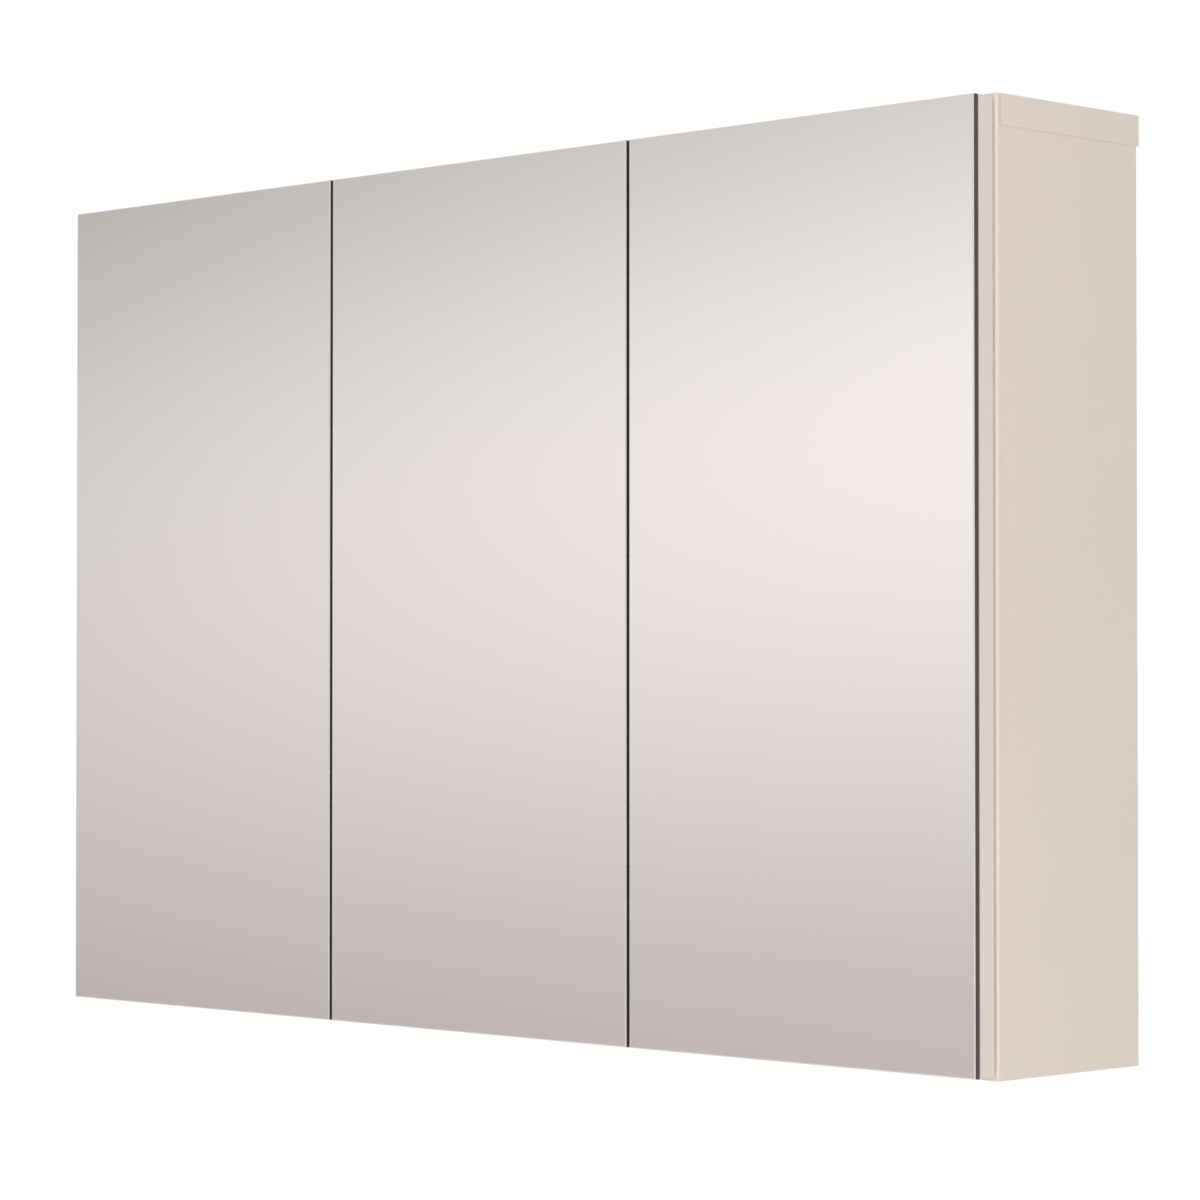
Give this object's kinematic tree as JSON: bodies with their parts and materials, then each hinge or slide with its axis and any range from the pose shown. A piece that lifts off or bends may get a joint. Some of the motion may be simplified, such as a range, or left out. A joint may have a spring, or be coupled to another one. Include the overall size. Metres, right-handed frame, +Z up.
{
  "type": "mirrored bathroom wall cabinet",
  "caption": "Wall-hung bathroom cabinet with frameless mirror doors on concealed hinges, glass shelves on pins and adjustable wall hangers.",
  "frame": {"origin": "centre of the four wall screw holes, on the wall plane", "axes": "+X along the wall to the right of someone facing the mirrors, +Y into the wall, +Z up"},
  "size_m": [1, 0.1845, 0.68],
  "materials": {
    "carcass_board": "satin melamine",
    "door_board": "satin melamine",
    "front_lipping": "satin",
    "back_board": "matt",
    "mirror_glass": "polished",
    "mounting_tape": "matt",
    "shelf_glass": "polished",
    "nickel": "nickel plated",
    "zinc": "zinc plated",
    "pin_steel": "bright",
    "white_plastic": "satin",
    "bumper": "soft",
    "beech": "raw"
  },
  "bodies": {
    "cabinet": {"side_left": "carcass_board", "side_right": "carcass_board", "top_panel": "carcass_board", "bottom_panel": "carcass_board", "divider_left": "carcass_board", "divider_right": "carcass_board", "back_panel": "back_board", "front_lippings": "front_lipping", "shelf_left_lower": "shelf_glass", "shelf_left_upper": "shelf_glass", "shelf_middle_lower": "shelf_glass", "shelf_middle_upper": "shelf_glass", "shelf_right_lower": "shelf_glass", "shelf_right_upper": "shelf_glass", "shelf_pins": "nickel", "cam_locks": "zinc", "cam_bolts": "zinc", "dowels": "beech", "back_panel_screws": "zinc", "hanger_housing_left": "white_plastic", "hanger_housing_right": "white_plastic", "hanger_hooks": "zinc", "hanger_screws": "zinc", "hanger_covers": "white_plastic", "wall_plates": "zinc", "hinge_plates": "nickel", "hinge_arms_left": "nickel", "hinge_arms_middle": "nickel", "hinge_arms_right": "nickel", "hinge_arm_pins": "pin_steel", "hinge_screws": "nickel"},
    "left_door": {"left_door_board": "door_board", "left_mirror": "mirror_glass", "left_mirror_tape": "mounting_tape", "left_hinge_cups": "nickel", "left_cup_pins": "pin_steel", "left_door_bumpers": "bumper"},
    "left_cranks": {"left_crank_links": "nickel", "left_crank_pins": "pin_steel"},
    "left_carriers": {"left_carrier_links": "nickel"},
    "middle_door": {"middle_door_board": "door_board", "middle_mirror": "mirror_glass", "middle_mirror_tape": "mounting_tape", "middle_hinge_cups": "nickel", "middle_cup_pins": "pin_steel", "middle_door_bumpers": "bumper"},
    "middle_cranks": {"middle_crank_links": "nickel", "middle_crank_pins": "pin_steel"},
    "middle_carriers": {"middle_carrier_links": "nickel"},
    "right_door": {"right_door_board": "door_board", "right_mirror": "mirror_glass", "right_mirror_tape": "mounting_tape", "right_hinge_cups": "nickel", "right_cup_pins": "pin_steel", "right_door_bumpers": "bumper"},
    "right_cranks": {"right_crank_links": "nickel", "right_crank_pins": "pin_steel"},
    "right_carriers": {"right_carrier_links": "nickel"}
  },
  "joints": [
    {"name": "left_door_hinge", "type": "hinge", "parent": "cabinet", "child": "left_door", "pos_m": [-0.492, -0.178, -0.28], "axis": [0, 0, -1], "range_deg": [0, 105]},
    {"name": "left_crank_pivot", "type": "hinge", "parent": "cabinet", "child": "left_cranks", "pos_m": [-0.475, -0.159, -0.28], "axis": [0, 0, -1], "range_deg": [0, 105]},
    {"name": "left_carrier_pivot", "type": "hinge", "parent": "left_cranks", "child": "left_carriers", "pos_m": [-0.4545, -0.1475, -0.28], "axis": [0, 0, -1], "range_deg": [-105, 0]},
    {"name": "middle_door_hinge", "type": "hinge", "parent": "cabinet", "child": "middle_door", "pos_m": [-0.15833, -0.178, -0.28], "axis": [0, 0, -1], "range_deg": [0, 105]},
    {"name": "middle_crank_pivot", "type": "hinge", "parent": "cabinet", "child": "middle_cranks", "pos_m": [-0.14133, -0.159, -0.28], "axis": [0, 0, -1], "range_deg": [0, 105]},
    {"name": "middle_carrier_pivot", "type": "hinge", "parent": "middle_cranks", "child": "middle_carriers", "pos_m": [-0.12083, -0.1475, -0.28], "axis": [0, 0, -1], "range_deg": [-105, 0]},
    {"name": "right_door_hinge", "type": "hinge", "parent": "cabinet", "child": "right_door", "pos_m": [0.492, -0.178, -0.28], "axis": [0, 0, 1], "range_deg": [0, 105]},
    {"name": "right_crank_pivot", "type": "hinge", "parent": "cabinet", "child": "right_cranks", "pos_m": [0.475, -0.159, -0.28], "axis": [0, 0, 1], "range_deg": [0, 105]},
    {"name": "right_carrier_pivot", "type": "hinge", "parent": "right_cranks", "child": "right_carriers", "pos_m": [0.4545, -0.1475, -0.28], "axis": [0, 0, 1], "range_deg": [-105, 0]}
  ],
  "couplings": [
    {"joint": "left_crank_pivot", "follows": "left_door_hinge", "ratio": 1},
    {"joint": "left_carrier_pivot", "follows": "left_door_hinge", "ratio": -1},
    {"joint": "middle_crank_pivot", "follows": "middle_door_hinge", "ratio": 1},
    {"joint": "middle_carrier_pivot", "follows": "middle_door_hinge", "ratio": -1},
    {"joint": "right_crank_pivot", "follows": "right_door_hinge", "ratio": 1},
    {"joint": "right_carrier_pivot", "follows": "right_door_hinge", "ratio": -1}
  ]
}
